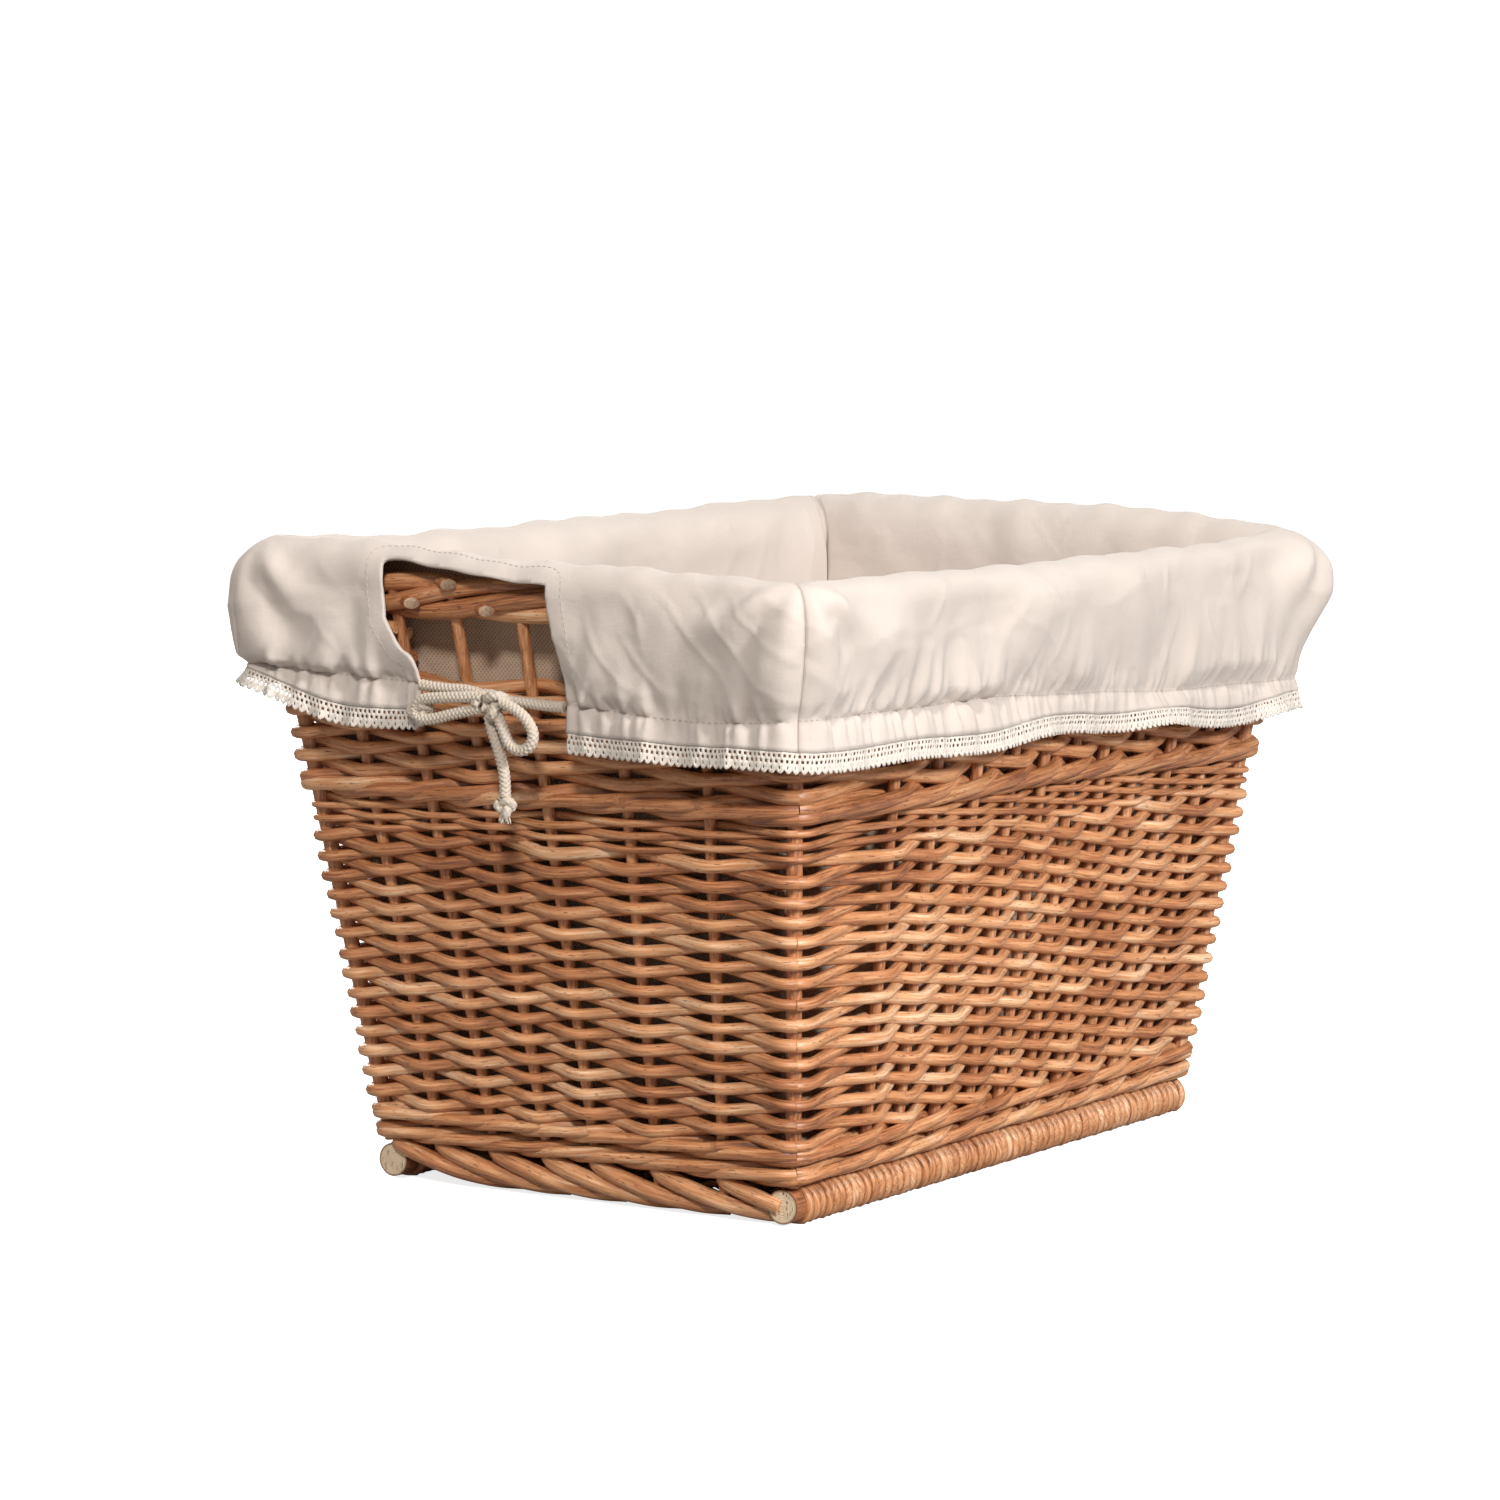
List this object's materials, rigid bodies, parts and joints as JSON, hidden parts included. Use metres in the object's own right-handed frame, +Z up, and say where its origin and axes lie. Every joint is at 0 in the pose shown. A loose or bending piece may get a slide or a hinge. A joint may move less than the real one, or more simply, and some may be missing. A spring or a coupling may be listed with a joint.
{
  "type": "woven laundry basket with cloth liner",
  "caption": "Rectangular buff-willow laundry basket, wider at the top, with handle holes and a removable lace-trimmed cotton liner tied by a drawcord.",
  "frame": {"origin": "centre of the footprint, on the surface the basket stands on", "axes": "+Z up; X along the long sides, with the tied handle opening at -X; Y along the ends; front is -Y"},
  "size_m": [0.5323, 0.3184, 0.2998],
  "materials": {
    "willow_weave": "buff willow rods, satin",
    "willow_wale": "thick buff willow rods, satin",
    "willow_border": "buff willow rods, satin",
    "willow_stick": "round willow sticks, satin, pale cut ends",
    "willow_skein": "split willow skein, satin",
    "liner_cotton": "plain woven cotton, matt",
    "cotton_lace": "cotton crochet lace, matt",
    "cotton_cord": "braided cotton cord, matt"
  },
  "bodies": {
    "basket": {"back_border": "willow_border", "back_siding": "willow_weave", "back_stakes": "willow_stick", "back_upper_siding": "willow_weave", "back_upper_wale": "willow_wale", "back_upsett_wale": "willow_wale", "base_weave": "willow_weave", "base_wrapping_back": "willow_skein", "base_wrapping_front": "willow_skein", "corner_posts": "willow_stick", "foot_border_left": "willow_border", "foot_border_right": "willow_border", "front_border": "willow_border", "front_siding": "willow_weave", "front_stakes": "willow_stick", "front_upper_siding": "willow_weave", "front_upper_wale": "willow_wale", "front_upsett_wale": "willow_wale", "inner_base_sticks": "willow_stick", "left_border": "willow_border", "left_handle_cheeks": "willow_weave", "left_siding": "willow_weave", "left_stakes": "willow_stick", "left_upper_siding": "willow_weave", "left_upper_wale": "willow_wale", "left_upsett_wale": "willow_wale", "outer_base_stick_back": "willow_stick", "outer_base_stick_front": "willow_stick", "right_border": "willow_border", "right_handle_cheeks": "willow_weave", "right_siding": "willow_weave", "right_stakes": "willow_stick", "right_upper_siding": "willow_weave", "right_upper_wale": "willow_wale", "right_upsett_wale": "willow_wale"},
    "liner": {"back_lace": "cotton_lace", "front_lace": "cotton_lace", "left_bow_knot": "cotton_cord", "left_bow_loop_back": "cotton_cord", "left_bow_loop_front": "cotton_cord", "left_cord_lead_back": "cotton_cord", "left_cord_lead_front": "cotton_cord", "left_cord_tail": "cotton_cord", "left_handle_facing": "liner_cotton", "left_tail_knot": "cotton_cord", "liner_back_cuff": "liner_cotton", "liner_back_panel": "liner_cotton", "liner_bottom": "liner_cotton", "liner_front_cuff": "liner_cotton", "liner_front_panel": "liner_cotton", "liner_left_cuff": "liner_cotton", "liner_left_panel": "liner_cotton", "liner_right_cuff": "liner_cotton", "liner_right_panel": "liner_cotton", "right_cord_crossing": "cotton_cord", "right_handle_facing": "liner_cotton"}
  },
  "joints": [
    {"name": "liner_lift", "type": "slide", "parent": "basket", "child": "liner", "axis": [0, 0, 1], "range_m": [0, 0.33]}
  ]
}
